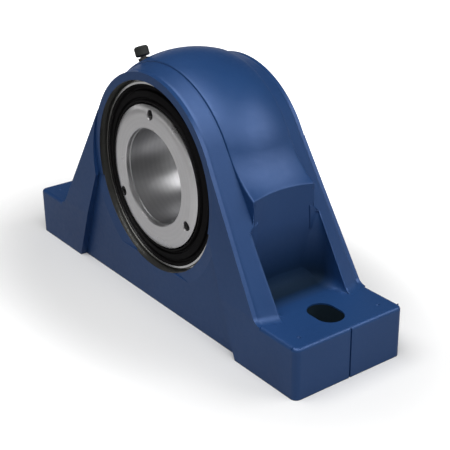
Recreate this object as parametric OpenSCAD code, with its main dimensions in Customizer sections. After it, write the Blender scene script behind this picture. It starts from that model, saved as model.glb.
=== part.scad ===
// Pillow block bearing: a one-piece cast housing on two slotted feet, with a
// self-aligning two-row roller bearing, labyrinth seals and a clamping sleeve.
// The base rests on z = 0, X runs along the base and the shaft runs along Y.

/* [Housing] */
// length of the base over both feet
base_len = 300; // [280:1:330]
// width of the base at its foot
base_w = 84; // [80:1:96]
// thickness of each foot
foot_t = 34; // [26:1:42]
// height of the shaft centre over the base
center_h = 89; // [84:1:98]
// slope of the housing's shoulders from level
slope_deg = 59; // [56:1:62]
// wall left over the bearing at the crown rim
crown_wall = 6.2; // [5:0.1:9]
// height of the middle block's edges over the crown rim
drum_rise = 4.5; // [3:0.1:6]
// crowning of the middle block over its own edges
dome_rise = 3.9; // [2.5:0.1:5]
// width of the middle block between the ribs
drum_w = 47; // [40:1:52]
// how far the bearing face sits back from the base edge
face_back = 4.6; // [3:0.1:7]
// rounding of the rims and of the top edges of the feet
edge_r = 2.4; // [1:0.1:3]
// rounding where a shoulder meets its foot
foot_fillet_r = 7; // [4:0.5:10]
// rounding at the bottom of the wall between the ribs
wall_fillet_r = 11; // [6:0.5:13]

/* [Mounting] */
// distance from each end of the base to the middle of its slot
bolt_inset = 22.5; // [18:0.5:26]
// width of each bolt slot
slot_w = 18; // [14:0.5:20]
// length of each bolt slot from end to end
slot_len = 25; // [21:0.5:30]

/* [Bearing] */
// bore for the shaft
shaft_d = 63.5; // [60:0.5:65]
// outside diameter of the outer ring
ring_od = 125; // [122:0.5:130]
// width of the outer ring
ring_w = 31; // [30:0.5:33]
// number of rollers in each row
roller_count = 16; // [12:1:17]
// diameter of a roller at its middle
roller_d = 14.5; // [13:0.1:15]
// length of a roller
roller_len = 11.2; // [10:0.1:12]
// angle between a row of rollers and the middle plane
contact_deg = 8.7; // [8.5:0.1:9.5]

/* [Seals and locking] */
// width of one snap ring
snap_w = 2.4; // [1.8:0.1:3]
// clear gap between a seal and the turning collar
seal_gap = 1.1; // [1:0.1:1.5]
// outside diameter of the locking collar
collar_d = 94.9; // [93:0.1:96]

/* [Grease fitting] */
// lean of the fitting from upright
fitting_lean = 25; // [15:1:35]
// distance of the fitting in front of the middle plane
fitting_y = 18.6; // [18.2:0.1:19.5]
// outside diameter of the fitting's cap
cap_d = 9.4; // [8:0.1:10]

/* [Hidden] */
e = 0.02;
shaft_r = shaft_d / 2;
ring_r = ring_od / 2;
half_ring = ring_w / 2;
base_hl = base_len / 2;
base_hw = base_w / 2;
face_y = base_hw - face_back;
crown_r = ring_r + crown_wall;
drum_r = crown_r + drum_rise;
drum_hw = drum_w / 2;
dome_r = drum_r + dome_rise;
dome_rho = (drum_hw * drum_hw + dome_rise * dome_rise) / (2 * dome_rise);
band_rise = drum_rise - 1.1;
band_back = face_y - drum_hw;
corner_r = 4;
bolt_span = base_len - 2 * bolt_inset;
mouth_r = ring_r + 0.9;
spot_r = crown_r + 0.3;
snap_r = ring_r + 2.7;
// shoulder slopes touch the crown circle at this angle
rise_deg = 90 - slope_deg;
touch_x = crown_r * cos(rise_deg);
touch_z = center_h + crown_r * sin(rise_deg);
draft_z = foot_t + 3.4 / 7 * foot_fillet_r;
draft_deg = atan(face_back / (touch_z - draft_z));
edge_run = (touch_z - draft_z) / sin(slope_deg);
edge_tilt = atan(face_back / edge_run);
fillet_x = slope_at(foot_t + foot_fillet_r, crown_r + foot_fillet_r);
// the middle block flares out to its upright walls
flare_r = 62;
flare_deg = 28;
flare_x = (drum_r - 0.3 + flare_r) * cos(flare_deg);
flare_z = center_h + (drum_r - 0.3 + flare_r) * sin(flare_deg);
wall_x = drum_r + 15.4;
wall_r = 120;
pocket_run = fillet_x - wall_x + 12;
wall_cx = wall_x + sqrt(wall_r * wall_r - drum_hw * drum_hw);
pocket_hw = drum_hw + 3.1;
fitting_root = dome_r - dome_rho + sqrt(dome_rho * dome_rho - fitting_y * fitting_y) - 1;
// raceway sphere, row centre and roller barrel
sphere_r = ring_r - 6.4;
row_r = sphere_r - roller_d / 2 - 0.06;
barrel_r = sphere_r - 2;
track_r = barrel_r + 1;
track_c = row_r - roller_d / 2 - 0.06 + track_r;
land_r = row_r * cos(contact_deg) - roller_d / 2 + 1.2;
shoulder_r = land_r + 1.3;
// the collar and the inner ring stop at these distances from the middle
depth = face_y - half_ring;
ring_end = half_ring + 0.48 * depth;
collar_back = ring_end + 0.6;
collar_face = face_y - 0.95;
rear_face = ring_end + 0.365 * depth;
sleeve_front = collar_face - 0.146 * depth;
case_face = collar_face - 0.167 * depth;
seal_in = half_ring + 0.297 * depth;
// walls between the shaft and the collar's rim
collar_r = collar_d / 2;
collar_wall = collar_r - shaft_r;
step_n = 5;
step_len = 2 * ring_end / step_n;
step_low = shaft_r + 0.172 * collar_wall;
step_high = shaft_r + 0.21 * collar_wall;
hook_r = shaft_r + 0.35 * collar_wall;
screw_r = 0.2 * collar_wall;
screw_pcd = hook_r + collar_r - 0.3;
seal_r = collar_r + seal_gap;

// radius at a share of the seal's width, from its inner lip outward
function seal_at(share) = seal_r + share * (ring_r - 2.4 - seal_r);

function slope_at(z, r) = (r - sin(rise_deg) * (z - center_h)) / cos(rise_deg);

// local Z becomes the shaft axis, pointing to the rear
module on_shaft() {
    translate([0, 0, center_h]) rotate([-90, 0, 0]) children();
}

// a ring turned about the shaft from points of radius and distance from the middle
module turned(section, sides = 48) {
    on_shaft() rotate_extrude($fn = sides) polygon(section);
}

// a flat outline of X and Z carried along Y between two planes
module along_y(y0, y1) {
    translate([0, y1, 0]) rotate([90, 0, 0]) linear_extrude(y1 - y0) children();
}

// a copy on the left as well as on the right
module both_ends() {
    children();
    mirror([1, 0, 0]) children();
}

// a copy at the rear as well as at the front
module both_faces() {
    children();
    mirror([0, 1, 0]) children();
}

// corner section that leaves a rounded edge when it is cut away
module edge_cut(r) {
    difference() {
        translate([-2, -2]) square(r + 2);
        translate([r - e, r - e]) circle(r, $fn = 24);
    }
}

// corner section that fills an inner corner with a hollow rounding
module cove(r) {
    difference() {
        translate([-1, -1]) square(r + 1);
        translate([r + e, r + e]) circle(r, $fn = 24);
    }
}

// outline of the shouldered front and rear plates
module plate_outline() {
    difference() {
        union() {
            translate([0, center_h]) circle(crown_r, $fn = 96);
            polygon([[-slope_at(foot_t - 1, crown_r - e), foot_t - 1],
                [slope_at(foot_t - 1, crown_r - e), foot_t - 1],
                [(crown_r - e) * cos(rise_deg), touch_z],
                [-(crown_r - e) * cos(rise_deg), touch_z]]);
            for (s = [-1, 1])
                polygon([[s * (fillet_x - foot_fillet_r * 2), foot_t - 1],
                    [s * (fillet_x - 0.6), foot_t - 1],
                    [s * (fillet_x - 0.6), foot_t + 0.2],
                    [s * (fillet_x - foot_fillet_r * cos(rise_deg)),
                        foot_t + foot_fillet_r * (1 - sin(rise_deg))]]);
        }
        for (s = [-1, 1])
            translate([s * (fillet_x + e), foot_t + foot_fillet_r + e])
                circle(foot_fillet_r, $fn = 48);
    }
}

// drafted top of one plate: it rises from the rim's rounding to the middle block
module crown_band() {
    on_shaft() rotate([0, 0, rise_deg - 180])
        rotate_extrude(angle = 180 - 2 * rise_deg, $fn = 96)
            translate([crown_r, -face_y]) mirror([1, 0]) band_section();
    both_ends() translate([touch_x, -face_y, touch_z]) rotate([0, 90 + slope_deg, 0])
        rotate([edge_tilt, 0, 0]) linear_extrude(edge_run + 9) band_section();
}

// section of the drafted top: x runs inward and y to the rear
module band_section() {
    polygon([[3, edge_r + 0.1], [0.05, edge_r + 0.1], [-band_rise, band_back],
        [-band_rise * 1.4, band_back * 1.4], [3, band_back * 1.4]]);
}

// one plate in its full depth, with its face leaning back over the foot
module front_plate() {
    difference() {
        union() {
            along_y(-base_hw, 1.2 - drum_hw) plate_outline();
            crown_band();
        }
        translate([0, -base_hw, draft_z]) rotate([-draft_deg, 0, 0])
            translate([-base_hl, -20, 0]) cube([base_len, 20, (touch_z - draft_z) / cos(draft_deg)]);
        translate([-base_hl, -base_hw - 20, touch_z - 0.05])
            cube([base_len, 20 + face_back, crown_r]);
        both_ends() plate_edge_cuts();
        both_ends() translate([wall_x + 0.1, -pocket_hw, foot_t])
            cube([pocket_run, pocket_hw + 1, 2 * crown_r]);
    }
}

// rounded outer edges of one plate: shoulder, foot rounding and crown
module plate_edge_cuts() {
    translate([touch_x, -face_y, touch_z]) rotate([0, 90 + slope_deg, 0])
        rotate([edge_tilt, 0, 0]) linear_extrude(edge_run / cos(edge_tilt)) edge_cut(edge_r);
    translate([fillet_x, 0, foot_t + foot_fillet_r]) rotate([-90, 0, 0]) rotate([0, 0, 90])
        rotate_extrude(angle = slope_deg, $fn = 48)
            translate([foot_fillet_r, -base_hw]) edge_cut(edge_r);
    on_shaft() rotate([0, 0, -90]) rotate_extrude(angle = 90 - rise_deg, $fn = 96)
        translate([crown_r, -face_y]) mirror([1, 0]) edge_cut(edge_r);
}

// the base slab with its round corners and softened top edges
module base() {
    difference() {
        linear_extrude(foot_t) union() {
            square([base_len - 2 * corner_r, base_w], center = true);
            square([base_len, base_w - 2 * corner_r], center = true);
            for (x = [-1, 1], y = [-1, 1])
                translate([x * (base_hl - corner_r), y * (base_hw - corner_r)])
                    circle(corner_r, $fn = 24);
        }
        both_faces() both_ends() {
            translate([fillet_x, -base_hw, foot_t]) rotate([0, 90, 0])
                linear_extrude(base_hl - corner_r - fillet_x) edge_cut(edge_r);
            translate([base_hl - corner_r, corner_r - base_hw, 0]) rotate([0, 0, -90])
                rotate_extrude(angle = 90, $fn = 24)
                    translate([corner_r, foot_t]) mirror([1, 0]) mirror([0, 1]) edge_cut(edge_r);
            translate([base_hl, corner_r - base_hw, foot_t]) rotate([-90, 0, 0])
                linear_extrude(base_hw - corner_r + 0.01) mirror([1, 0]) edge_cut(edge_r);
        }
    }
}

// section of the crowned top of the middle block, with soft edges
module dome_section() {
    intersection() {
        translate([dome_r - dome_rho, 0]) circle(dome_rho, $fn = 180);
        polygon([[ring_r - 12, -drum_hw], [drum_r - 0.9, -drum_hw], [drum_r - 0.2, 0.35 - drum_hw],
            [drum_r + 0.35, 1.1 - drum_hw], [dome_r + 3, 4 - drum_hw], [dome_r + 3, drum_hw - 4],
            [drum_r + 0.35, drum_hw - 1.1], [drum_r - 0.2, drum_hw - 0.35],
            [drum_r - 0.9, drum_hw], [ring_r - 12, drum_hw]]);
    }
}

// skirts of the middle block that flare out to its walls, with soft edges
module skirt() {
    hw = drum_hw - 0.12;
    difference() {
        along_y(-hw, hw) difference() {
            translate([-wall_x - 2, foot_t - 1])
                square([2 * wall_x + 4, center_h + drum_r * sin(flare_deg) - foot_t + 1]);
            for (s = [-1, 1])
                translate([s * flare_x, flare_z]) circle(flare_r, $fn = 96);
        }
        both_faces() both_ends()
            translate([flare_x, 0, flare_z]) rotate([-90, 0, 0]) rotate([0, 0, 114])
                rotate_extrude(angle = 72 - flare_deg, $fn = 96)
                    polygon([[flare_r - 2, -hw - 1], [flare_r + 2.9, -hw - 1],
                        [flare_r + 0.2, 0.35 - hw], [flare_r - 0.1, 1 - hw],
                        [flare_r - 2, 1.4 - hw]]);
    }
}

// the middle block with a crowned top and hollow walls over the bolt pockets
module drum() {
    difference() {
        union() {
            on_shaft() rotate([0, 0, -180]) rotate_extrude(angle = 180, $fn = 96) dome_section();
            skirt();
        }
        both_ends() translate([wall_cx, 0, foot_t - 2])
            cylinder(h = 2 * crown_r, r = wall_r, $fn = 180);
    }
}

// hollow roundings of one bolt pocket
module pocket_roundings() {
    intersection() {
        translate([wall_cx, 0, foot_t]) rotate_extrude($fn = 180)
            translate([wall_r, 0]) mirror([1, 0]) cove(wall_fillet_r);
        translate([wall_x - 12, -pocket_hw - 3, foot_t - 0.5]) cube([36, 2 * pocket_hw + 6, 30]);
    }
    both_faces() intersection() {
        translate([wall_x, -pocket_hw, foot_t])
            rotate([90, 0, 90]) linear_extrude(pocket_run + 4) cove(5);
        along_y(-base_hw, 0) plate_outline();
    }
}

// recessed panel under the bearing, open to the front, and its round seat face
module panel_cut() {
    along_y(-base_hw - 1, -face_y) union() {
        translate([0, center_h]) circle(spot_r, $fn = 96);
        polygon([[-base_hl * 0.623, -1], [base_hl * 0.623, -1],
            [ring_r + 3.5, center_h - 17], [-ring_r - 3.5, center_h - 17]]);
    }
}

// shallow dish around the bearing's mouth, stopped above the bottom
module dish_cut() {
    intersection() {
        turned([[mouth_r - 3, -face_y - 0.4], [mouth_r + 11.4, -face_y - 0.4],
            [mouth_r, -face_y + 1.1], [mouth_r - 3, -face_y + 1.1]], 96);
        translate([-base_hl, -base_hw, center_h - ring_r + 3])
            cube([base_len, base_hw, ring_r - 20]);
    }
}

// one bolt slot through a foot
module bolt_slot() {
    translate([bolt_span / 2, 0, -1]) linear_extrude(foot_t + 30) union() {
        square([slot_len - slot_w, slot_w], center = true);
        for (s = [-1, 1])
            translate([s * (slot_len - slot_w) / 2, 0]) circle(slot_w / 2, $fn = 32);
    }
}

// the one-piece cast housing with all its machined faces
module housing() {
    color([0.17, 0.25, 0.40]) difference() {
        union() {
            base();
            both_faces() front_plate();
            drum();
            both_ends() pocket_roundings();
        }
        both_faces() panel_cut();
        both_faces() dish_cut();
        on_shaft() translate([0, 0, -base_hw - 1]) cylinder(h = base_w + 2, r = ring_r, $fn = 96);
        both_faces() turned([[ring_r - 2, -base_hw - 1], [mouth_r, -base_hw - 1],
            [mouth_r, 2.8 - case_face], [ring_r - 2, 2.8 - case_face]], 96);
        both_faces() turned([[ring_r - 2, -half_ring - snap_w], [snap_r, -half_ring - snap_w],
            [snap_r, -half_ring], [ring_r - 2, -half_ring]], 96);
        both_ends() bolt_slot();
        both_faces() both_ends() {
            translate([base_hl - 10.3, 11 - base_hw, foot_t - 1.4])
                cylinder(h = 2, r1 = 0.4, r2 = 1.7, $fn = 16);
        }
        both_ends() translate([base_hl - 0.8, -0.6, -1]) cube([2, 1.2, foot_t + 2]);
        fitting_axis() translate([0, 0, -13]) cylinder(h = 20, r = 1.5, $fn = 16);
        fitting_axis() translate([0, 0, -6]) cylinder(h = 12, r = 3, $fn = 24);
        fitting_axis() translate([0, 0, 0.4]) cylinder(h = 6, r = 4.8, $fn = 24);
    }
}

// outer ring with its ball-shaped raceway, grease groove and three grease holes
module outer_ring() {
    color([0.62, 0.63, 0.65]) difference() {
        on_shaft() rotate_extrude($fn = 72) difference() {
            polygon([[ring_r - 9.5, -half_ring], [ring_r - 1.2, -half_ring],
                [ring_r, 1.2 - half_ring], [ring_r, -3], [ring_r - 1, -2], [ring_r - 1, 2],
                [ring_r, 3], [ring_r, half_ring - 1.2], [ring_r - 1.2, half_ring],
                [ring_r - 9.5, half_ring]]);
            circle(sphere_r, $fn = 120);
        }
        on_shaft() for (a = [0, 120, 240]) rotate([0, 0, a - 90]) rotate([0, 90, 0])
            cylinder(h = ring_r + 1, r = 2.2, $fn = 16);
    }
}

// stepped outline of the seat between the sleeve and the inner ring
function seat_line(grow) = [for (i = [0 : step_n - 1], k = [0, 1])
    [(k == 0 ? step_high : step_low) + grow, -ring_end + (i + k) * step_len]];

// inner ring with two raceways, a middle land and a wide rear shoulder
module inner_ring() {
    color([0.62, 0.63, 0.65]) on_shaft() rotate_extrude($fn = 64) difference() {
        polygon(concat(seat_line(e), [[step_low + 0.5 + e, rear_face],
            [collar_r - 0.6, rear_face], [collar_r, rear_face - 0.6],
            [collar_r, ring_end], [shoulder_r, ring_end - 1],
            [shoulder_r, half_ring - 2.2], [land_r, half_ring - 2.4],
            [land_r, 2.4 - half_ring], [shoulder_r, 2.2 - half_ring],
            [shoulder_r, 0.6 - ring_end], [shoulder_r - 0.6, -ring_end]]));
        for (s = [0, 1]) mirror([0, s]) intersection() {
            rotate(contact_deg) translate([track_c, 0]) circle(track_r, $fn = 120);
            translate([step_high + 0.6, 0]) square([ring_r - step_high, half_ring - 2.4]);
        }
    }
}

// loose ring between the two rows that keeps the rollers square
module guide_ring() {
    inner = land_r + 0.35;
    outer = row_r * cos(contact_deg) + roller_d / 4;
    color([0.70, 0.60, 0.36])
        turned([[inner, -guide_half(inner)], [outer, -guide_half(outer)],
            [outer, guide_half(outer)], [inner, guide_half(inner)]], 64);
}

function guide_half(r) = (r * sin(contact_deg) - roller_len / 2) / cos(contact_deg) - 0.15;

// frame of roller number i of the rear row: local Z along the roller's own axis
module roller_place(i) {
    on_shaft() rotate([0, 0, i * 360 / roller_count]) rotate([0, -contact_deg, 0])
        translate([row_r, 0, 0]) children();
}

// one barrel-shaped roller
module roller(i) {
    color([0.72, 0.73, 0.75]) roller_place(i) rotate_extrude($fn = 16) intersection() {
        polygon([[0, -roller_len / 2], [roller_d / 2 - 1, -roller_len / 2],
            [roller_d, 0], [roller_d / 2 - 1, roller_len / 2], [0, roller_len / 2]]);
        translate([roller_d / 2 - barrel_r, 0]) circle(barrel_r, $fn = 120);
    }
}

// front row: the rear row mirrored and turned by half a step
module front_row() {
    translate([0, 0, center_h]) rotate([0, 180 / roller_count, 0])
        translate([0, 0, -center_h]) mirror([0, 1, 0]) children();
}

// toothed cage of the rear row with one open pocket for each roller
module cage() {
    mid = row_r * cos(contact_deg);
    inner_y = guide_half(mid + 3) + 1.1;
    outer_y = half_ring + 1;
    color([0.74, 0.60, 0.32]) difference() {
        turned([[mid - 2.2, inner_y], [mid + 2.4, inner_y + 0.7], [mid + 1.6, outer_y],
            [mid - 3, outer_y]], 64);
        for (i = [0 : roller_count - 1]) roller_place(i) translate([0, 0, -roller_len / 2 - 3])
            cylinder(h = roller_len + 3.2, r = roller_d / 2 + 0.25, $fn = 14);
    }
}

// open snap ring seated in its groove against the rear of the outer ring
module snap_ring() {
    color([0.10, 0.10, 0.11]) difference() {
        turned([[ring_r - 1.6, half_ring], [snap_r, half_ring],
            [snap_r, half_ring + snap_w], [ring_r - 1.6, half_ring + snap_w]], 64);
        translate([-4, 0, center_h - snap_r - 1]) cube([8, base_hw, 8]);
        on_shaft() for (s = [-1, 1]) rotate([0, 0, 90 + s * 7])
            translate([ring_r - 0.1, 0, 0]) cylinder(h = base_hw, r = 0.8, $fn = 14);
    }
}

// pressed steel case that carries the front seal
module seal_case() {
    color([0.70, 0.71, 0.73])
        turned([[seal_at(0.26), -seal_in], [ring_r - 0.8, -seal_in], [ring_r, -seal_in - 0.8],
            [ring_r, 2.8 - case_face], [ring_r - 0.6, 2.8 - case_face],
            [ring_r - 0.6, 0.5 - case_face], [ring_r - 1.1, -case_face],
            [ring_r - 2.4, -case_face], [ring_r - 2.4, -seal_in - 1.6],
            [seal_at(0.26), -seal_in - 1.6]]);
}

// rubber labyrinth seal inside the front case
module seal() {
    color([0.03, 0.03, 0.035])
        turned([[seal_at(0.26), -seal_in], [seal_at(0.26), -seal_in - 1.6],
            [ring_r - 2.4, -seal_in - 1.6], [ring_r - 2.4, 0.9 - case_face],
            [seal_at(0.845), 0.5 - case_face], [seal_at(0.775), 1.7 - case_face],
            [seal_at(0.69), 1.7 - case_face], [seal_at(0.62), 0.2 - case_face],
            [seal_at(0.295), -case_face - 0.8], [seal_at(0.225), -case_face + 0.5],
            [seal_at(0.155), -case_face + 0.5], [seal_at(0.085), -case_face - 1.3],
            [seal_r, -case_face - 1.3], [seal_r, -seal_in - 4], [seal_at(0.05), -seal_in - 2.6],
            [shoulder_r + 0.9, -seal_in - 1.2], [shoulder_r + 0.9, -seal_in]]);
}

// split clamping sleeve with a stepped outside and a hooked front end
module sleeve() {
    hook_y = -sleeve_front;
    color([0.60, 0.61, 0.63]) difference() {
        turned(concat([[shaft_r + 0.6, hook_y], [hook_r, hook_y],
            [hook_r, hook_y + 3], [step_low - 0.4, hook_y + 3.6],
            [step_low - 0.4, -ring_end - 0.3], [step_high, -ring_end - 0.3]],
            seat_line(0), [[step_low - 0.2, ring_end + 0.1],
            [step_low - 0.2, rear_face - 1], [shaft_r + 0.6, rear_face - 1],
            [shaft_r, rear_face - 1.6], [shaft_r, hook_y + 0.6]]));
        on_shaft() rotate([0, 0, -20]) translate([0, -0.9, -base_hw]) cube([ring_r, 1.8, base_w]);
    }
}

// locking collar that grips the sleeve's hook, with three screw holes in its face
module locking_collar() {
    hook_y = -sleeve_front;
    band = 0.41 * collar_wall;
    round_r = band / sin(35);
    color([0.64, 0.65, 0.67]) difference() {
        on_shaft() rotate_extrude($fn = 72) difference() {
            polygon([[shaft_r + 1, -collar_face], [collar_r, -collar_face],
                [collar_r, -collar_back - 0.6], [collar_r - 0.6, -collar_back],
                [step_low + 0.2, -collar_back], [step_low + 0.2, hook_y + 4],
                [hook_r + 0.4, hook_y + 3.1], [hook_r + 0.4, hook_y - 0.1],
                [shaft_r + 0.3, hook_y - 0.1], [shaft_r + 0.3, 0.7 - collar_face]]);
            difference() {
                translate([collar_r - band, -collar_face - 1]) square([band + 1, 4]);
                translate([collar_r - band, round_r - e - collar_face]) circle(round_r, $fn = 96);
            }
        }
        for (i = [0 : 2]) screw_place(i) {
            translate([0, 0, -1]) cylinder(h = depth, r = screw_r, $fn = 24);
            translate([0, 0, collar_face - ring_end - 0.5])
                cylinder(h = 1, r1 = screw_r, r2 = screw_r + 1, $fn = 24);
        }
    }
}

// frame of set screw number i: local Z points out of the front face
module screw_place(i) {
    translate([0, 0, center_h]) rotate([0, i * 120, 0]) translate([0, -ring_end, screw_pcd / 2])
        rotate([90, 0, 0]) children();
}

// cup-point set screw with a hexagon socket, bearing on the inner ring
module set_screw(i) {
    length = collar_face - ring_end - 4.2;
    color([0.12, 0.12, 0.13]) screw_place(i) difference() {
        union() {
            cylinder(h = 1, r1 = screw_r - 1, r2 = screw_r - e, $fn = 24);
            translate([0, 0, 1]) cylinder(h = length - 1, r = screw_r - e, $fn = 24);
        }
        translate([0, 0, length - 4]) cylinder(h = 5, r = 0.56 * screw_r, $fn = 6);
    }
}

// frame of the grease fitting: local Z leans outward, zero on the block's surface,
// with all its lengths in step with a cap of 9.4 across
module fitting_axis() {
    translate([0, -fitting_y, center_h]) rotate([0, -fitting_lean, 0])
        translate([0, 0, fitting_root]) scale(cap_d / 9.4) children();
}

// grease fitting with a threaded shank, a hexagon, a neck and a bored head
module grease_fitting() {
    color([0.55, 0.56, 0.58]) fitting_axis() difference() {
        union() {
            translate([0, 0, -5.5]) cylinder(h = 6.2, r = 3 - e, $fn = 24);
            translate([0, 0, 0.45]) cylinder(h = 1.6, r = 3.6, $fn = 6);
            translate([0, 0, 2]) cylinder(h = 2.6, r = 2, $fn = 24);
            translate([0, 0, 4.6]) cylinder(h = 0.8, r1 = 2, r2 = 2.9, $fn = 24);
            translate([0, 0, 5.4]) cylinder(h = 1.4, r1 = 2.9, r2 = 2.1, $fn = 24);
        }
        translate([0, 0, -6]) cylinder(h = 8, r = 0.8, $fn = 16);
        translate([0, 0, -1.4]) cylinder(h = 7.4, r = 1.3, $fn = 16);
        translate([0, 0, 5.9]) cylinder(h = 2, r = 0.7, $fn = 16);
        translate([0, 0, 5.95]) cylinder(h = 0.6, r1 = 1.3, r2 = 0.7, $fn = 16);
    }
}

// ball that closes the head from inside
module fitting_ball() {
    color([0.75, 0.75, 0.77]) fitting_axis() translate([0, 0, 5.65]) sphere(1.1, $fn = 20);
}

// coil spring under the ball, seated on the step in the shank
module fitting_spring() {
    color([0.55, 0.55, 0.57]) fitting_axis() translate([0, 0, -1.38])
        linear_extrude(height = 5.9, twist = -1980, slices = 66)
            polygon([for (i = [0 : 3]) 1.12 * [cos(i * 40), sin(i * 40)],
                for (i = [3 : -1 : 0]) 0.8 * [cos(i * 40), sin(i * 40)]]);
}

// dark cap over the fitting's head
module fitting_cap() {
    color([0.10, 0.11, 0.10]) fitting_axis() rotate_extrude($fn = 32)
        polygon([[3.15, 3.3], [4.2, 3.3], [4.7, 3.8], [4.7, 8.6],
            [3.8, 9.6], [0, 9.6], [0, 7], [2.4, 7], [3.15, 5.6]]);
}

module front_roller(i) {
    front_row() roller(i);
}

function number(i) = i < 9 ? str("0", i + 1) : str(i + 1);

housing();
outer_ring();
inner_ring();
guide_ring();
front_row() cage();  // cage_front
cage();  // cage_rear
for (i = [0 : roller_count - 1]) {
    front_roller(i);
    roller(i);
}
mirror([0, 1, 0]) snap_ring();  // snap_ring_front
snap_ring();  // snap_ring_rear
seal_case();  // seal_case_front
mirror([0, 1, 0]) seal_case();  // seal_case_rear
seal();  // seal_front
mirror([0, 1, 0]) seal();  // seal_rear
sleeve();
locking_collar();
set_screw(0);  // set_screw_1
set_screw(1);  // set_screw_2
set_screw(2);  // set_screw_3
grease_fitting();
fitting_ball();
fitting_spring();
fitting_cap();
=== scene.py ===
"""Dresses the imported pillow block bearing: finishes, painted skins over the casting, studio and camera."""

import logging
import math
from collections.abc import Callable
from dataclasses import dataclass, field
from enum import Enum

import bmesh
import bpy
from mathutils import Matrix, Vector


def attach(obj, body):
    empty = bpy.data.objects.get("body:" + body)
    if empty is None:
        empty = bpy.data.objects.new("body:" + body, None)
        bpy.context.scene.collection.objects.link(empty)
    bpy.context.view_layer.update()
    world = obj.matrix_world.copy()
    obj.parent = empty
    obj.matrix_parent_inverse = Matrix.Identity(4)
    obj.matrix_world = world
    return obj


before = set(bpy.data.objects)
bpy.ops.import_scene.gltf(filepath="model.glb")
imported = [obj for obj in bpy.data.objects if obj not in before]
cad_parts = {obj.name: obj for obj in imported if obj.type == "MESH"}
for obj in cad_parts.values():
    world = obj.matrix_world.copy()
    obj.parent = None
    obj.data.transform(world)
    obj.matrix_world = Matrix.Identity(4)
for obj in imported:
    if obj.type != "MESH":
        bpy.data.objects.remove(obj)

logging.basicConfig(level=logging.INFO, format="%(name)s: %(message)s")
LOG = logging.getLogger("pillow_block")

Colour = tuple[float, float, float]
Point = tuple[float, float, float]
Limits = tuple[float, float]
WHITE = (1.0, 1.0, 1.0)
SHAFT_HEIGHT = 0.089
MM = 0.001


class Nodes:
    """A node tree, with short calls for the nodes that the finishes and the studio share."""

    def __init__(self, tree: bpy.types.NodeTree) -> None:
        """Takes over a tree and empties it.

        Args:
            tree: the tree of a material or of the world.
        """
        self.tree = tree
        self.tree.nodes.clear()

    def add(self, kind: str) -> bpy.types.Node:
        """Adds a node of a kind, such as ShaderNodeMix."""
        return self.tree.nodes.new(kind)

    def feed(self, target: bpy.types.NodeSocket, source: object) -> None:
        """Wires a socket to another one, or sets it to a plain value.

        Args:
            target: the input to fill.
            source: an output socket, a number, a colour or a vector.
        """
        if isinstance(source, bpy.types.NodeSocket):
            self.tree.links.new(source, target)
        elif isinstance(source, tuple) and len(source) == 3 and target.type == "RGBA":
            target.default_value = (*source, 1.0)
        else:
            target.default_value = source

    def math(self, operation: str, *values: object) -> bpy.types.NodeSocket:
        """A Math node over one to three values.

        Args:
            operation: the node's operation, such as MULTIPLY.
            values: sockets or numbers for its inputs.

        Returns:
            The node's output socket.
        """
        node = self.add("ShaderNodeMath")
        node.operation = operation
        for socket, value in zip(node.inputs, values):
            self.feed(socket, value)
        return node.outputs[0]

    def spread(
        self,
        value: bpy.types.NodeSocket,
        low: float,
        high: float,
        start: float = 0.3,
        stop: float = 0.7,
        curve: str = "LINEAR",
    ) -> bpy.types.NodeSocket:
        """Maps a value from one span to another, held inside it.

        Args:
            value: the socket to map.
            low: result at the start.
            high: result at the stop.
            start: input that gives low.
            stop: input that gives high.
            curve: how the result runs between them.

        Returns:
            The mapped socket.
        """
        node = self.add("ShaderNodeMapRange")
        node.interpolation_type = curve
        for name, number in (("From Min", start), ("From Max", stop), ("To Min", low), ("To Max", high)):
            node.inputs[name].default_value = number
        self.feed(node.inputs["Value"], value)
        return node.outputs[0]

    def blend(self, share: object, first: object, second: object) -> bpy.types.NodeSocket:
        """Mixes two colours.

        Args:
            share: how much of the second colour shows.
            first: the colour at 0.
            second: the colour at 1.

        Returns:
            The mixed colour.
        """
        node = self.add("ShaderNodeMix")
        node.data_type = "RGBA"
        self.feed(node.inputs[0], share)
        self.feed(node.inputs[6], first)
        self.feed(node.inputs[7], second)
        return node.outputs[2]


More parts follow.
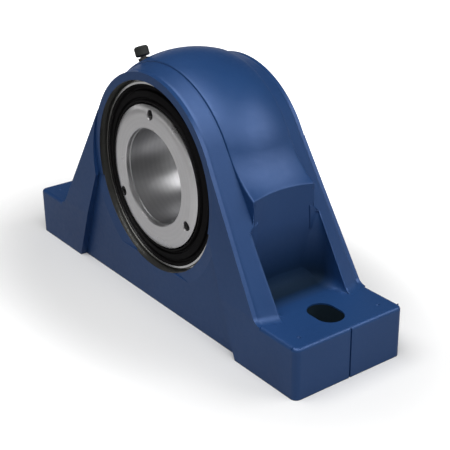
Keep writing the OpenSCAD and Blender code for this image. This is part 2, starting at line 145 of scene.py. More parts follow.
class Graph(Nodes):
    """A finish's node tree with one principled shader and its patterns."""

    def __init__(self, name: str) -> None:
        """Starts a material with one principled shader.

        Args:
            name: the material's name.
        """
        self.material = bpy.data.materials.new(name)
        self.material.use_nodes = True
        super().__init__(self.material.node_tree)
        self.shader = self.add("ShaderNodeBsdfPrincipled")
        self.feed(self.add("ShaderNodeOutputMaterial").inputs["Surface"], self.shader.outputs["BSDF"])
        self.place = self.add("ShaderNodeTexCoord").outputs["Object"]
        self._axes: dict[str, bpy.types.NodeSocket] = {}

    def axis(self, letter: str) -> bpy.types.NodeSocket:
        """One coordinate of the object's own space, X, Y or Z."""
        if not self._axes:
            split = self.add("ShaderNodeSeparateXYZ")
            self.feed(split.inputs[0], self.place)
            self._axes = {k: split.outputs[k] for k in "XYZ"}
        return self._axes[letter]

    def shaft_radius(self) -> bpy.types.NodeSocket:
        """Distance from the shaft axis, in metres."""
        if "R" not in self._axes:
            self.axis("X")
            height = self.math("SUBTRACT", self.axis("Z"), SHAFT_HEIGHT)
            square = self.math("MULTIPLY", height, height)
            wide = self.math("MULTIPLY", self.axis("X"), self.axis("X"))
            self._axes["R"] = self.math("SQRT", self.math("ADD", wide, square))
        return self._axes["R"]

    def noise(self, scale: float, detail: float = 3.0) -> bpy.types.NodeSocket:
        """Cloud noise on object coordinates.

        Args:
            scale: grains for each metre.
            detail: octaves of finer grain.

        Returns:
            The noise value, about 0.5 on average.
        """
        node = self.add("ShaderNodeTexNoise")
        self.feed(node.inputs["Vector"], self.place)
        self.feed(node.inputs["Scale"], scale)
        self.feed(node.inputs["Detail"], detail)
        return node.outputs["Fac"]

    def rings(
        self, pitch: float, source: bpy.types.NodeSocket, slow: float = 7.3, uneven: float = 0.3
    ) -> bpy.types.NodeSocket:
        """Fine lathe lines along a coordinate.

        Args:
            pitch: distance between two lines, in metres.
            source: the coordinate that the lines step along.
            slow: how many lines go into one swing of their depth.
            uneven: how far the depth swings to each side.

        Returns:
            A wave between 0 and 1 with an uneven depth.
        """
        turns = self.math("MULTIPLY", source, 2.0 * math.pi / pitch)
        wave = self.math("MULTIPLY_ADD", self.math("SINE", turns), 0.5, 0.5)
        swing = self.math("SINE", self.math("MULTIPLY", source, 2.0 * math.pi / (pitch * slow)))
        depth = self.math("MULTIPLY_ADD", swing, uneven, 1.0 - uneven)
        return self.math("MULTIPLY", wave, depth)

    def relief(self, *layers: tuple[bpy.types.NodeSocket, float]) -> None:
        """Stacks bump layers on the shader's normal.

        Args:
            layers: pairs of a height socket and its depth in metres.
        """
        last = None
        for height, depth in layers:
            node = self.add("ShaderNodeBump")
            self.feed(node.inputs["Distance"], depth)
            self.feed(node.inputs["Height"], height)
            if last is not None:
                self.feed(node.inputs["Normal"], last)
            last = node.outputs["Normal"]
        if last is not None:
            self.feed(self.shader.inputs["Normal"], last)

    def set(self, **values: object) -> None:
        """Fills the shader's inputs, with underscores for the spaces in their names."""
        for name, value in values.items():
            self.feed(self.shader.inputs[name.replace("_", " ")], value)


@dataclass(frozen=True)
class Finish:
    """A surface finish: a slot name and one material named after it."""

    slot: str

    def graph(self) -> Graph:
        """Starts the finish's node tree, named after its slot."""
        return Graph(self.slot)

    def material(self) -> bpy.types.Material:
        """Builds the finish's material."""
        return self.graph().material


@dataclass(frozen=True)
class CastPaint(Finish):
    """Semi-gloss paint over a sand-cast skin, with bare metal where the bore and the base are machined, and
    painted shade at the pockets' feet and in the bolt slots.
    """

    deep: Colour = (0.0125, 0.053, 0.172)
    light: Colour = (0.0165, 0.065, 0.202)
    # The next two colours are painted shade: the first for the foot of each pocket's wall, the second for the
    # insides of the bolt slots.
    painted_shade: Colour = (0.009, 0.020, 0.038)
    bolt_slot_shade: Colour = (0.017, 0.031, 0.044)
    bare: Colour = (0.13, 0.13, 0.122)
    bare_lines: Colour = (0.075, 0.075, 0.07)
    bare_metallic: float = 0.85
    speckle: Colour = (0.03, 0.085, 0.25)
    speckle_share: float = 0.10
    roughness: Limits = (0.36, 0.44)
    specular: float = 0.5
    dull_specular: float = 0.08
    mouth_radius: float = 0.06355
    face_y: float = 0.0372
    base_skim: float = 0.00025
    flake: float = 0.30
    # Strength and reach of the painted shade at the pockets' feet, then where the painted shade inside the
    # bolt slots lies, then the roughness added under the painted shade.
    smear_and_shade: float = 0.95
    shade_reach_x: Limits = (0.096, 0.108)
    shade_reach_y: Limits = (0.0262, 0.0275)
    shade_reach_z: Limits = (0.036, 0.078)
    slot_x: float = 0.1275
    slot_reach: Point = (0.0128, 0.0093, 0.033)
    dull_roughness: float = 0.28
    cloud_scale: float = 14.0
    grain_scale: float = 700.0
    swell_scale: float = 38.0
    swell_depth: float = 0.00012
    skin_scale: float = 320.0
    skin_depth: float = 0.00005
    line_pitch: float = 0.0004
    line_share: float = 0.35
    line_depth: float = 0.000012

    def machined(self, g: Graph) -> bpy.types.NodeSocket:
        """Where the tool has cut through to bare iron: inside the mouth and under the base."""
        inside = g.math("LESS_THAN", g.shaft_radius(), self.mouth_radius)
        between = g.math("LESS_THAN", g.math("ABSOLUTE", g.axis("Y")), self.face_y)
        under = g.math("LESS_THAN", g.axis("Z"), self.base_skim)
        return g.math("MAXIMUM", g.math("MULTIPLY", inside, between), under)

    def add_painted_shade(
        self, g: Graph, paint: bpy.types.NodeSocket
    ) -> tuple[bpy.types.NodeSocket, bpy.types.NodeSocket]:
        """Painted shade at the pockets' feet and down the bolt slots.

        Args:
            g: the graph that is being built.
            paint: the clean paint's colour.

        Returns:
            The colour with its painted shade, and how much painted shade each place has.
        """
        # Painted shade: darkest low on each pocket's wall, fading up the wall, out along the foot and towards
        # the ribs.
        x, y = g.math("ABSOLUTE", g.axis("X")), g.math("ABSOLUTE", g.axis("Y"))
        low = g.spread(g.axis("Z"), self.smear_and_shade, 0.0, *self.shade_reach_z)
        near = g.spread(x, 1.0, 0.0, *self.shade_reach_x)
        between = g.spread(y, 1.0, 0.0, *self.shade_reach_y)
        foot = g.math("MULTIPLY", low, g.math("MULTIPLY", near, between))
        # Painted shade inside each bolt slot: a dark grey in place of the blue paint.
        away = g.math("ABSOLUTE", g.math("SUBTRACT", x, self.slot_x))
        inside = g.math("LESS_THAN", away, self.slot_reach[0])
        for place, reach in zip((y, g.axis("Z")), self.slot_reach[1:]):
            inside = g.math("MULTIPLY", inside, g.math("LESS_THAN", place, reach))
        colour = g.blend(inside, g.blend(foot, paint, self.painted_shade), self.bolt_slot_shade)
        return colour, g.math("MAXIMUM", inside, foot)

    def material(self) -> bpy.types.Material:
        """Builds the paint with its machined areas."""
        g = self.graph()
        cut = self.machined(g)
        cloud = g.noise(self.cloud_scale, 2.0)
        grain = g.noise(self.grain_scale)
        paint = g.blend(g.spread(cloud, 0.0, 1.0), self.deep, self.light)
        paint = g.blend(g.spread(grain, 0.0, self.speckle_share, 0.5, 0.75), paint, self.speckle)
        # Adds the painted shade at the pockets' feet and in the bolt slots; the same share makes those places
        # rougher and less glossy.
        paint, painted_shade = self.add_painted_shade(g, paint)
        lines = g.rings(self.line_pitch, g.axis("Y"))
        bare = g.blend(g.spread(lines, 0.0, self.line_share, 0.0, 1.0), self.bare, self.bare_lines)
        skin = g.noise(self.skin_scale)
        swell = g.noise(self.swell_scale, 1.0)
        rough = g.math("MULTIPLY_ADD", painted_shade, self.dull_roughness, g.spread(skin, *self.roughness))
        g.set(
            Base_Color=g.blend(cut, paint, bare),
            Metallic=g.math("MULTIPLY_ADD", cut, self.bare_metallic - self.flake, self.flake),
            Roughness=rough,
            Specular_IOR_Level=g.spread(painted_shade, self.specular, self.dull_specular),
        )
        painted = g.math("SUBTRACT", 1.0, cut)
        g.relief(
            (g.math("MULTIPLY", swell, painted), self.swell_depth),
            (g.math("MULTIPLY", skin, painted), self.skin_depth),
            (g.math("MULTIPLY", lines, cut), self.line_depth),
        )
        return g.material


class Lay(Enum):
    """Which way a tool's lines run on a turned part."""

    FACE = "face"
    WALL = "wall"
    BOTH = "both"


@dataclass(frozen=True)
class TurnedSteel(Finish):
    """Metal with fine lathe lines about the shaft axis."""

    base: Colour = (0.5, 0.5, 0.51)
    shade: Colour = (0.42, 0.42, 0.43)
    roughness: float = 0.26
    pitch: float = 0.00035
    cross_pitch: float = 1.07
    depth: float = 0.000004
    smear_scale: float = 90.0
    smear_share: float = 0.25
    lay: Lay = Lay.BOTH

    def material(self) -> bpy.types.Material:
        """Builds the turned metal."""
        g = self.graph()
        source = g.shaft_radius() if self.lay is Lay.FACE else g.axis("Y")
        lines = g.rings(self.pitch, source)
        if self.lay is Lay.BOTH:
            lines = g.math("MULTIPLY", lines, g.rings(self.pitch * self.cross_pitch, g.shaft_radius()))
        smear_and_shade = g.noise(self.smear_scale, 2.0)
        tone = g.blend(g.spread(lines, 0.0, 1.0, 0.0, 1.0), self.base, self.shade)
        g.set(
            Base_Color=g.blend(g.spread(smear_and_shade, 0.0, self.smear_share, 0.45, 0.8), tone, self.shade),
            Metallic=1.0,
            Roughness=g.spread(smear_and_shade, self.roughness - 0.03, self.roughness + 0.05),
        )
        g.relief((lines, self.depth))
        return g.material


@dataclass(frozen=True)
class DarkSteel(Finish):
    """Black oxide or phosphate skin on steel, with a grainy sheen."""

    base: Colour = (0.035, 0.035, 0.038)
    worn: Colour = (0.10, 0.10, 0.105)
    roughness: float = 0.42
    metallic: float = 0.75
    patch_scale: float = 160.0
    patch_share: float = 0.5
    grain_scale: float = 1500.0
    grain_depth: float = 0.000008

    def material(self) -> bpy.types.Material:
        """Builds the dark skin."""
        g = self.graph()
        grain = g.noise(self.grain_scale)
        patch = g.noise(self.patch_scale)
        g.set(
            Base_Color=g.blend(g.spread(patch, 0.0, self.patch_share, 0.5, 0.8), self.base, self.worn),
            Metallic=self.metallic,
            Roughness=g.spread(grain, self.roughness - 0.05, self.roughness + 0.08),
        )
        g.relief((grain, self.grain_depth))
        return g.material


@dataclass(frozen=True)
class MouldedBlack(Finish):
    """Moulded rubber or plastic with a fine matt grain."""

    base: Colour = (0.0045, 0.0040, 0.0045)
    dusty: Colour = (0.0085, 0.0078, 0.0085)
    roughness: float = 0.5
    specular: float = 0.06
    cloud_scale: float = 60.0
    grain_scale: float = 1400.0
    grain_depth: float = 0.00001

    def material(self) -> bpy.types.Material:
        """Builds the moulding."""
        g = self.graph()
        grain = g.noise(self.grain_scale, 2.0)
        cloud = g.noise(self.cloud_scale)
        g.set(
            Base_Color=g.blend(g.spread(cloud, 0.0, 1.0), self.base, self.dusty),
            Roughness=g.spread(cloud, self.roughness - 0.06, self.roughness + 0.08),
            Specular_IOR_Level=self.specular,
        )
        g.relief((grain, self.grain_depth))
        return g.material


@dataclass(frozen=True)
class PlainMetal(Finish):
    """Polished, plated or wire-drawn metal without a lathe direction."""

    base: Colour = (0.6, 0.6, 0.62)
    shade: Colour = (0.5, 0.5, 0.52)
    roughness: float = 0.2
    grain_scale: float = 500.0
    grain_depth: float = 0.000004
    cloud_scale: float = 80.0

    def material(self) -> bpy.types.Material:
        """Builds the metal."""
        g = self.graph()
        grain = g.noise(self.grain_scale)
        cloud = g.noise(self.cloud_scale, 2.0)
        g.set(
            Base_Color=g.blend(g.spread(cloud, 0.0, 1.0), self.base, self.shade),
            Metallic=1.0,
            Roughness=g.spread(grain, self.roughness - 0.04, self.roughness + 0.08),
        )
        g.relief((grain, self.grain_depth))
        return g.material


def wear(node: str, finish: bpy.types.Material) -> None:
    """Puts a finish on a carried-over node.

    Args:
        node: the node's name.
        finish: the material for all its slots.
    """
    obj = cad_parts[node]
    obj.data.materials.clear()
    obj.data.materials.append(finish)
    LOG.info("%s wears %s", node, finish.name)


@dataclass(frozen=True)
class CastForm:
    """Outlines of the casting, in millimetres and in step with its solid."""

    centre: float = SHAFT_HEIGHT / MM
    foot: float = 34.0
    crown_r: float = 68.7
    rim_y: float = 37.4
    lean: float = 4.6
    draft: float = 0.3026
    rise: float = math.radians(31.0)
    block_hw: float = 23.5
    block_r: float = 73.2
    swell: float = 3.9
    flare_r: float = 62.0
    flare_x: float = 119.11
    flare_z: float = 63.33
    wall_x: float = 88.6
    wall_r: float = 120.0
    rib_y: float = 26.6
    foot_clear: float = 3.4
    rim_clear: float = 2.5

    def block_radius(self, y: float) -> float:
        """Radius of the crowned middle block at a distance from the middle plane."""
        arc = (self.block_hw**2 + self.swell**2) / (2.0 * self.swell)
        return self.block_r + self.swell - arc + math.sqrt(arc * arc - y * y)

    def wall(self, y: float) -> float:
        """X of the pocket's hollow wall at a distance from the middle plane."""
        y = min(abs(y), self.block_hw)
        side = math.sqrt(self.wall_r**2 - self.block_hw**2)
        return self.wall_x + side - math.sqrt(self.wall_r**2 - y * y)

    def wall_top(self, y: float) -> float:
        """Height of the wall's top edge over the shaft axis."""
        return self.flare_z - math.sqrt(self.flare_r**2 - (self.flare_x - self.wall(y)) ** 2)

    @property
    def slope_run(self) -> float:
        """Length of a shoulder from the crown down to the foot's rounding."""
        height = self.centre + self.crown_r * math.sin(self.rise) - self.foot - self.foot_clear
        return height / math.cos(self.rise)

    def rib_end(self, z: float) -> float:
        """X where a rib's inner face comes out of its drafted shoulder, at a height."""
        down = (self.centre + self.crown_r * math.sin(self.rise) - z) / math.cos(self.rise)
        lift = self.draft * (self.rim_y + self.lean * down / self.slope_run - self.rib_y - self.rim_clear)
        return (self.crown_r + lift - math.sin(self.rise) * (z - self.centre)) / math.cos(self.rise)


def drape(
    name: str,
    across: int,
    along: int,
    place: Callable[[int, int], Point],
    back: float,
    beacon: Point,
    inward: bool,
    paint: bpy.types.Material,
) -> None:
    """Lays a grid over a form, turns it to face outwards, gives it a back and paints it.

    Args:
        name: the piece's name.
        across: strips along the grid's first side.
        along: strips along its second side.
        place: gives the point, in millimetres, of a column and a row.
        back: thickness behind the surface, in millimetres.
        beacon: a point in metres, on the side that tells which way is out.
        inward: whether the surface faces the beacon, or else away from it.
        paint: the piece's material.
    """
    mesh = bpy.data.meshes.new(name)
    made = bmesh.new()
    bmesh.ops.create_grid(made, x_segments=across, y_segments=along, size=1.0)
    columns = {x: i for i, x in enumerate(sorted({round(v.co.x, 5) for v in made.verts}))}
    rows = {y: i for i, y in enumerate(sorted({round(v.co.y, 5) for v in made.verts}))}
    for vert in made.verts:
        point = place(columns[round(vert.co.x, 5)], rows[round(vert.co.y, 5)])
        vert.co = Vector(point) * MM
    made.normal_update()
    facing = sum((Vector(beacon) - face.calc_center_median()).dot(face.normal) for face in made.faces)
    if (facing > 0.0) != inward:
        bmesh.ops.reverse_faces(made, faces=made.faces)
    for face in made.faces:
        face.smooth = True
    for edge in made.edges:
        edge.smooth = not edge.is_boundary
    made.to_mesh(mesh)
    made.free()
    mesh.materials.append(paint)
    obj = bpy.data.objects.new(name, mesh)
    bpy.context.scene.collection.objects.link(obj)
    shell = obj.modifiers.new("back", "SOLIDIFY")
    shell.thickness, shell.offset = back * MM, -1.0
    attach(obj, "housing_group")
    LOG.info("%s: %d by %d strips", name, across, along)


@dataclass
class CrownSkin:
    """Painted skin that blends the middle block's crown into its skirts, with rounded edges."""

    form: CastForm = field(default_factory=CastForm)
    proud: float = 0.12
    back: float = 1.6
    side_proud: float = 0.2
    side_tilt: float = math.radians(18.8)
    side_tuck: float = 1.0
    side_hold: float = 0.48
    edge_r: float = 1.0
    nose_r: float = 1.0
    nose_proud: float = 0.16
    nose_tail: tuple[Limits, ...] = ((0.10, 3.0), (0.0, 0.4))
    middle_steps: int = 14
    edge_steps: int = 5
    flare_steps: int = 24
    crown_steps: int = 36

    def side_stations(self) -> list[tuple[float, float]]:
        """Distances across the block, each with its drop under the crowned surface."""
        tilt, side = self.side_tilt, self.form.block_hw + self.side_proud
        turn = []
        for k in range(self.edge_steps + 1):
            angle = tilt + (math.pi / 2 - tilt) * k / self.edge_steps
            drop = self.edge_r * (math.cos(tilt) - math.cos(angle))
            turn.append((side - self.edge_r + self.edge_r * math.sin(angle), drop))
        turn.append((side, turn[-1][1] + self.side_tuck))
        start, steps = turn[0][0], self.middle_steps
        middle = [(start * k / steps, 0.0) for k in range(1 - steps, steps)]
        return [(-y, drop) for y, drop in reversed(turn)] + middle + turn

    def outline(self, y: float, drop: float) -> list[tuple[float, float]]:
        """Half outline of the skin at one station, from the wall's edge up to the crown.

        Args:
            y: distance from the middle plane.
            drop: depth under the crowned surface.

        Returns:
            Points of X and height over the shaft axis.
        """
        form = self.form
        y = min(abs(y), form.block_hw - self.side_hold)
        radius, flare = form.block_radius(y) + self.proud, form.flare_r
        edge = Vector((form.wall(y) + self.nose_proud, form.wall_top(y) + self.nose_proud))
        reach = edge.length
        ahead = ((radius + flare) ** 2 + reach**2 - flare**2) / (2.0 * reach)
        unit = edge / reach
        hub = unit * ahead + Vector((-unit.y, unit.x)) * math.sqrt((radius + flare) ** 2 - ahead**2)
        up, out = (hub - edge).normalized(), Vector((1.0, 0.0))
        core = edge - (up + out) * (self.nose_r / (1.0 + up.dot(out)))
        points = [core + out * (self.nose_r - sunk) - Vector((0.0, down)) for sunk, down in self.nose_tail]
        for k in range(self.edge_steps + 1):
            points.append(core + out.lerp(up, k / self.edge_steps).normalized() * self.nose_r)
        first = points[-1] - hub
        last = len(points) - 1
        points = [point - up * drop * (k / last) for k, point in enumerate(points)]
        foot_angle = math.atan2(first.y, first.x) % (2 * math.pi)
        top_angle = math.atan2(-hub.y, -hub.x) % (2 * math.pi)
        for k in range(1, self.flare_steps + 1):
            angle = foot_angle + (top_angle - foot_angle) * k / self.flare_steps
            points.append(hub + Vector((math.cos(angle), math.sin(angle))) * (flare + drop))
        low = math.atan2(hub.y, hub.x)
        for k in range(1, self.crown_steps + 1):
            angle = low + (math.pi / 2 - low) * k / self.crown_steps
            points.append(Vector((math.cos(angle), math.sin(angle))) * (radius - drop))
        return [(point.x, point.y) for point in points]

    def build(self, paint: bpy.types.Material) -> None:
        """Makes the skin from wall edge to wall edge."""
        stations = self.side_stations()
        halves = [self.outline(y, drop) for y, drop in stations]
        crown = len(halves[0]) - 1

        def place(i: int, j: int) -> Point:
            """Point of a column across the block and a row over it."""
            mirrored = j > crown
            x, z = halves[i][2 * crown - j if mirrored else j]
            return (-x if mirrored else x, stations[i][0], z + self.form.centre)

        inside = (0.0, 0.0, SHAFT_HEIGHT)
        drape("crown_skin", len(stations) - 1, 2 * crown, place, self.back, inside, False, paint)


@dataclass
class PocketLiner:
    """Hollow wall of one bolt pocket, with its roundings into both ribs and the foot."""

    side: float
    form: CastForm = field(default_factory=CastForm)
    proud: float = 0.12
    back: float = 0.7
    corner_r: float = 14.0
    corner_least: float = 0.6
    corner_fade: float = 2.6
    bend_least: float = 0.2
    floor_r: float = 6.5
    floor_sunk: float = 0.5
    floor_clear: float = 0.04
    rib_clear: float = 0.15
    rib_least: float = 0.05
    top: float = 79.5
    top_step: float = 0.6
    top_clear: float = 2.6
    block_clear: float = 0.3
    steps: int = 10
    cove_rows: int = 9
    wall_rows: int = 18
    beacon_x: float = 0.135

    def bend(self, z: float) -> float:
        """Radius of the corner between wall and rib at a height."""
        share = (z - self.form.foot) / (self.top - self.form.foot)
        fade = 1.0 - max(share, 0.0) ** self.corner_fade
        return self.corner_least + (self.corner_r - self.corner_least) * fade

    def plan(self, z: float, s: int) -> tuple[float, float]:
        """Point of the pocket's plan at a height, on its front half.

        Args:
            z: height.
            s: station, in three equal runs along the wall, the corner and the rib.

        Returns:
            X and the distance from the middle plane.
        """
        depth = z - self.form.foot
        cove = self.floor_r**2 - max(self.floor_r - depth, 0.0) ** 2
        shift = self.floor_r - math.sqrt(max(cove, 0.0))
        rib = self.form.rib_y - self.proud
        bend = self.bend(z)
        wall = self.form.wall(rib - bend) + self.proud
        if s <= self.steps:
            y = (rib - bend) * s / self.steps
            return self.form.wall(y) + self.proud + shift, y
        if s <= 2 * self.steps:
            angle = math.pi / 2 * (s - self.steps) / self.steps
            small = max(bend - shift, self.bend_least)
            return wall + bend - small * math.cos(angle), rib - bend + small * math.sin(angle)
        start = wall + bend
        end = max(self.form.rib_end(z) - self.rib_clear, start + self.rib_least)
        share = (s - 2 * self.steps) / self.steps
        return start + (end - start) * share, rib - shift * (1.0 - share**2)

    def heights(self) -> list[float]:
        """Heights of the liner's rows, from under the foot's top to the wall's top edge."""
        foot = self.form.foot
        cove = [
            foot + self.floor_clear + self.floor_r * (1 - math.cos(math.pi / 2 * k / self.cove_rows))
            for k in range(self.cove_rows + 1)
        ]
        rise = (self.top - cove[-1]) / self.wall_rows
        wall = [cove[-1] + rise * k for k in range(1, self.wall_rows)]
        edge = self.form.centre + self.form.wall_top(0.0) - self.top_clear
        return [foot - self.floor_sunk] + cove + wall + [self.top, self.top + self.top_step, edge]

    def build(self, paint: bpy.types.Material) -> None:
        """Makes the liner of one side."""
        heights = self.heights()
        middle = 3 * self.steps

        def place(i: int, j: int) -> Point:
            """Point of a column along the plan and a row of height."""
            x, y = self.plan(min(heights[j], self.top), abs(i - middle))
            if heights[j] > self.top:
                y *= (self.form.block_hw - self.block_clear) / self.form.rib_y
                x = self.form.wall(y) + self.proud
            return (self.side * x, y if i > middle else -y, heights[j])

        name = "pocket_liner_right" if self.side > 0 else "pocket_liner_left"
        outside = (self.side * self.beacon_x, 0.0, SHAFT_HEIGHT)
        drape(name, 2 * middle, len(heights) - 1, place, self.back, outside, True, paint)


@dataclass
class ShoulderBand:
    """Drafted top of one plate, from its rim to the middle block and down both shoulders."""

    side: float
    form: CastForm = field(default_factory=CastForm)
    proud: float = 0.12
    back: float = 0.7
    rim_back: float = 2.45
    rim_sunk: float = 0.25
    edge_r: float = 0.9
    edge_tuck: float = 0.8
    block_under: float = 0.6
    rib_clear: float = 0.02
    crown_lift: float = 3.2
    foot_r: float = 7.0
    foot_clear: float = 0.06
    foot_rows: int = 8
    slope_rows: int = 30
    crown_rows: int = 40
    flat_strips: int = 10
    edge_strips: int = 5
    beacon_y: float = 0.03

    def run(self, j: int) -> tuple[float, float, float]:
        """Splits a row's number into its place along the band.

        Args:
            j: row, counted from the foot up to the crown.

        Returns:
            Turn left in the foot's rounding, distance down the shoulder, and angle on the crown.
        """
        form = self.form
        if j <= self.foot_rows:
            return (1.0 - j / self.foot_rows, form.slope_run, form.rise)
        j -= self.foot_rows
        if j <= self.slope_rows:
            return (0.0, form.slope_run * (self.slope_rows - j) / self.slope_rows, form.rise)
        j -= self.slope_rows
        return (0.0, 0.0, form.rise + (math.pi / 2 - form.rise) * j / self.crown_rows)

    def reach(self, i: int, start: float, down: float) -> tuple[float, float]:
        """Where a column lies across the band.

        Args:
            i: column, from 0 at the rim.
            start: distance of the rim's inner edge from the middle plane.
            down: distance down the shoulder.

        Returns:
            Distance from the middle plane, and the drop under the drafted surface.
        """
        form, edge_r = self.form, self.edge_r
        side_x = (form.crown_r + self.crown_lift) * math.cos(form.rise) + down * math.sin(form.rise)
        on_rib = down > 0.0 and side_x > form.wall_x
        stop = form.rib_y + self.rib_clear if on_rib else form.block_hw - self.block_under
        if i <= self.flat_strips:
            return start + (stop + edge_r - start) * i / self.flat_strips, 0.0
        if i <= self.flat_strips + self.edge_strips:
            arc = math.pi / 2 * (i - self.flat_strips) / self.edge_strips
            return stop + edge_r * (1 - math.sin(arc)), edge_r * (1 - math.cos(arc))
        return stop, edge_r + self.edge_tuck

    def point(self, i: int, j: int) -> Point:
        """Point of a column across the band and a row on its right half."""
        form = self.form
        turn, down, angle = self.run(j)
        start = form.rim_y + form.lean * down / form.slope_run - self.rim_back
        y, drop = self.reach(i, start, down)
        lift = form.draft * (start - y) - drop + (self.proud if i > 0 else -self.rim_sunk)
        radius = form.crown_r + lift
        x = radius * math.cos(angle) + down * math.sin(form.rise)
        z = radius * math.sin(angle) - down * math.cos(form.rise)
        if j <= self.foot_rows:
            hub_z = form.foot - form.centre + self.foot_clear + self.foot_r
            hub_x = (radius + self.foot_r - math.sin(form.rise) * hub_z) / math.cos(form.rise)
            swing = math.pi + form.rise + (math.pi / 2 - form.rise) * turn
            x, z = hub_x + self.foot_r * math.cos(swing), hub_z + self.foot_r * math.sin(swing)
        return x, y, z

    def build(self, paint: bpy.types.Material) -> None:
        """Makes the band from foot to foot."""
        crown = self.foot_rows + self.slope_rows + self.crown_rows

        def place(i: int, j: int) -> Point:
            """Point of a column and a row, with the left half mirrored."""
            x, y, z = self.point(i, 2 * crown - j if j > crown else j)
            return (-x if j > crown else x, self.side * y, z + self.form.centre)

        name = "shoulder_band_front" if self.side < 0 else "shoulder_band_rear"
        inside = (0.0, self.side * self.beacon_y, SHAFT_HEIGHT)
        strips = self.flat_strips + self.edge_strips + 1
        drape(name, strips, 2 * crown, place, self.back, inside, False, paint)


@dataclass
class Housing:
    """The painted casting with its blended crown, pockets and shoulders."""

    paint: CastPaint = field(default_factory=lambda: CastPaint("blue_paint"))

    def build(self) -> None:
        """Dresses the casting and lays its skins."""
        paint = self.paint.material()
        wear("housing", paint)
        CrownSkin().build(paint)
        for side in (-1.0, 1.0):
            PocketLiner(side).build(paint)
            ShoulderBand(side).build(paint)


@dataclass
class BearingUnit:
    """Rings, rollers, cages and snap rings inside the housing."""

    ring: TurnedSteel = field(default_factory=lambda: TurnedSteel("ring_steel", roughness=0.18))
    roller: PlainMetal = field(default_factory=lambda: PlainMetal("roller_steel", roughness=0.12))
    cage: PlainMetal = field(
        default_factory=lambda: PlainMetal("cage_brass", (0.62, 0.44, 0.17), (0.50, 0.34, 0.12), 0.30)
    )
    guide: PlainMetal = field(
        default_factory=lambda: PlainMetal("guide_brass", (0.48, 0.36, 0.17), (0.38, 0.28, 0.13), 0.38, 900.0)
    )
    snap: DarkSteel = field(default_factory=lambda: DarkSteel("snap_steel"))

    def build(self) -> None:
        """Dresses every inner piece."""
        ring = self.ring.material()
        made = {
            "outer_ring": ring,
            "inner_ring": ring,
            "roller": self.roller.material(),
            "cage": self.cage.material(),
            "guide_ring": self.guide.material(),
            "snap": self.snap.material(),
        }
        for node in sorted(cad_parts):
            for key, material in made.items():
                if node.startswith(key):
                    wear(node, material)


@dataclass
class SealPack:
    """Pressed cases with their rubber seals."""

    case: TurnedSteel = field(
        default_factory=lambda: TurnedSteel(
            "case_steel", (0.86, 0.86, 0.86), (0.74, 0.74, 0.75), 0.22, 0.0005
        )
    )
    rubber: MouldedBlack = field(default_factory=lambda: MouldedBlack("seal_rubber"))

    def build(self) -> None:
        """Dresses both seals and both cases."""
        case, rubber = self.case.material(), self.rubber.material()
        for side in ("front", "rear"):
            wear(f"seal_case_{side}", case)
            wear(f"seal_{side}", rubber)


@dataclass
class ClampUnit:
    """Sleeve, locking collar and set screws."""

    sleeve: TurnedSteel = field(
        default_factory=lambda: TurnedSteel(
            "sleeve_steel", (0.52, 0.52, 0.53), (0.42, 0.42, 0.43), 0.34, 0.0005, lay=Lay.WALL
        )
    )
    collar: TurnedSteel = field(
        default_factory=lambda: TurnedSteel(
            "collar_steel", (0.80, 0.79, 0.80), (0.72, 0.71, 0.72), 0.30, 0.0004, lay=Lay.FACE
        )
    )
    screw: DarkSteel = field(
        default_factory=lambda: DarkSteel("screw_steel", (0.010, 0.010, 0.011), (0.018, 0.018, 0.019), 0.6)
    )

    def build(self) -> None:
        """Dresses the clamping parts."""
        wear("sleeve", self.sleeve.material())
        wear("locking_collar", self.collar.material())
        screw = self.screw.material()
        for number in (1, 2, 3):
            wear(f"set_screw_{number}", screw)


@dataclass
class GreaseFitting:
    """Fitting body, ball, spring and cap."""

    body: DarkSteel = field(
        default_factory=lambda: DarkSteel("fitting_steel", (0.05, 0.05, 0.052), (0.12, 0.12, 0.12), 0.36)
    )
    ball: PlainMetal = field(default_factory=lambda: PlainMetal("ball_steel", roughness=0.1))
    spring: PlainMetal = field(default_factory=lambda: PlainMetal("spring_steel", roughness=0.3))
    cap: MouldedBlack = field(
        default_factory=lambda: MouldedBlack(
            "cap_plastic", (0.028, 0.030, 0.029), (0.045, 0.047, 0.045), 0.42
        )
    )

    def build(self) -> None:
        """Dresses the fitting."""
        wear("grease_fitting", self.body.material())
        wear("fitting_ball", self.ball.material())
        wear("fitting_spring", self.spring.material())
        wear("fitting_cap", self.cap.material())


@dataclass(frozen=True)
class Softbox:
    """One rectangular studio light."""

    name: str
    place: Point
    aim: Point
    width: float
    height: float
    watts: float

    def build(self) -> None:
        """Makes the light and turns it to its aim."""
        lamp = bpy.data.lights.new(self.name, "AREA")
        lamp.shape, lamp.size, lamp.size_y = "RECTANGLE", self.width, self.height
        lamp.energy = self.watts
        obj = bpy.data.objects.new(self.name, lamp)
        bpy.context.scene.collection.objects.link(obj)
        obj.location = self.place
        obj.rotation_mode = "QUATERNION"
        obj.rotation_quaternion = (Vector(self.aim) - Vector(self.place)).to_track_quat("-Z", "Y")
        LOG.info("light %s", self.name)


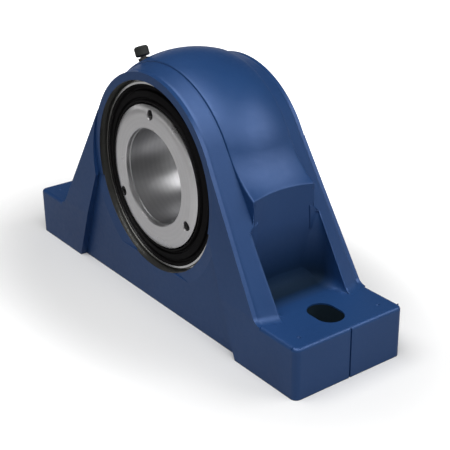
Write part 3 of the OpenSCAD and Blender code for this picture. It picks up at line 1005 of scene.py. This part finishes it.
@dataclass
class Studio:
    """Pale floor, soft light and the camera."""

    lights: tuple[Softbox, ...] = (
        Softbox("overhead", (0.05, -0.36, 1.20), (0.0, 0.0, 0.08), 1.1, 0.9, 12.0),
        Softbox("key", (0.800, -0.200, 1.152), (0.0, 0.0, 0.08), 0.9, 0.9, 5.0),
        Softbox("rear_right", (0.833, 0.724, 0.942), (0.0, 0.0, 0.08), 0.9, 0.7, 7.0),
    )
    sky: float = 0.06
    floor_size: float = 30.0
    floor_white: Colour = (0.80, 0.80, 0.80)
    floor_dim: Colour = (0.45, 0.45, 0.45)
    glow: Limits = (0.02, 0.95)
    glow_reach: Limits = (0.15, 0.40)
    glow_oval: Point = (1.0, 1.8, 1.0)
    mirror_band: Limits = (0.06, 0.14)
    eye: Point = (0.54034, -0.37826, 0.34831)
    right: Point = (0.59907, 0.80059, -0.01314)
    up: Point = (-0.32748, 0.25995, 0.90840)
    focal: float = 85.966
    sensor: float = 36.0
    clip: Limits = (0.01, 50.0)

    def floor(self) -> None:
        """Lays the pale floor, which keeps the object's shadow."""
        mesh = bpy.data.meshes.new("floor")
        made = bmesh.new()
        bmesh.ops.create_grid(made, x_segments=1, y_segments=1, size=self.floor_size)
        made.to_mesh(mesh)
        made.free()
        mesh.materials.append(self.floor_material())
        obj = bpy.data.objects.new("floor", mesh)
        bpy.context.scene.collection.objects.link(obj)
        LOG.info("floor")

    def floor_material(self) -> bpy.types.Material:
        """Matt floor that turns white for the camera away from the object."""
        material = bpy.data.materials.new("pale_floor")
        material.use_nodes = True
        g = Nodes(material.node_tree)
        camera_ray = g.add("ShaderNodeLightPath").outputs["Is Camera Ray"]
        matt, glow = g.add("ShaderNodeBsdfDiffuse"), g.add("ShaderNodeEmission")
        g.feed(matt.inputs["Color"], g.blend(camera_ray, self.floor_dim, self.floor_white))
        oval, reach = g.add("ShaderNodeVectorMath"), g.add("ShaderNodeVectorMath")
        oval.operation, reach.operation = "MULTIPLY", "LENGTH"
        g.feed(oval.inputs[0], g.add("ShaderNodeTexCoord").outputs["Object"])
        g.feed(oval.inputs[1], self.glow_oval)
        g.feed(reach.inputs[0], oval.outputs[0])
        rise = g.spread(reach.outputs["Value"], *self.glow, *self.glow_reach, "SMOOTHSTEP")
        g.feed(glow.inputs["Color"], WHITE)
        g.feed(glow.inputs["Strength"], g.math("MULTIPLY", rise, camera_ray))
        both = g.add("ShaderNodeAddShader")
        g.feed(both.inputs[0], matt.outputs[0])
        g.feed(both.inputs[1], glow.outputs[0])
        g.feed(g.add("ShaderNodeOutputMaterial").inputs["Surface"], both.outputs[0])
        return material

    def world(self) -> None:
        """Soft sky light, white for the camera and in mirrors just over the floor."""
        world = bpy.data.worlds.new("studio")
        bpy.context.scene.world = world
        world.use_nodes = True
        g = Nodes(world.node_tree)
        split = g.add("ShaderNodeSeparateXYZ")
        g.feed(split.inputs[0], g.add("ShaderNodeTexCoord").outputs["Generated"])
        low = g.spread(split.outputs["Z"], 1.0, 0.0, *self.mirror_band)
        rays = g.add("ShaderNodeLightPath").outputs
        mirrored = g.math("MAXIMUM", rays["Is Glossy Ray"], rays["Is Transmission Ray"])
        backdrop = g.math("MAXIMUM", g.math("MULTIPLY", low, mirrored), rays["Is Camera Ray"])
        shine = g.add("ShaderNodeBackground")
        g.feed(shine.inputs["Color"], WHITE)
        g.feed(shine.inputs["Strength"], g.spread(backdrop, self.sky, 1.0, 0.0, 1.0))
        g.feed(g.add("ShaderNodeOutputWorld").inputs["Surface"], shine.outputs[0])

    def camera(self) -> None:
        """Stands the camera where the photograph was taken from."""
        data = bpy.data.cameras.new("camera")
        data.sensor_width = self.sensor
        data.lens = self.focal
        data.clip_start, data.clip_end = self.clip
        obj = bpy.data.objects.new("camera", data)
        bpy.context.scene.collection.objects.link(obj)
        side, top = Vector(self.right).normalized(), Vector(self.up)
        top = (top - side * top.dot(side)).normalized()
        turn = Matrix((side, top, side.cross(top))).transposed()
        obj.matrix_world = Matrix.Translation(Vector(self.eye)) @ turn.to_4x4()
        bpy.context.scene.camera = obj

    def build(self) -> None:
        """Makes the whole studio."""
        self.floor()
        self.world()
        for light in self.lights:
            light.build()
        self.camera()
        view = bpy.context.scene.view_settings
        view.view_transform = "Standard"


def main() -> None:
    """Builds the studio and dresses every part."""
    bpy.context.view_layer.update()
    Studio().build()
    for part in (Housing(), BearingUnit(), SealPack(), ClampUnit(), GreaseFitting()):
        part.build()


if __name__ == "__main__":
    main()
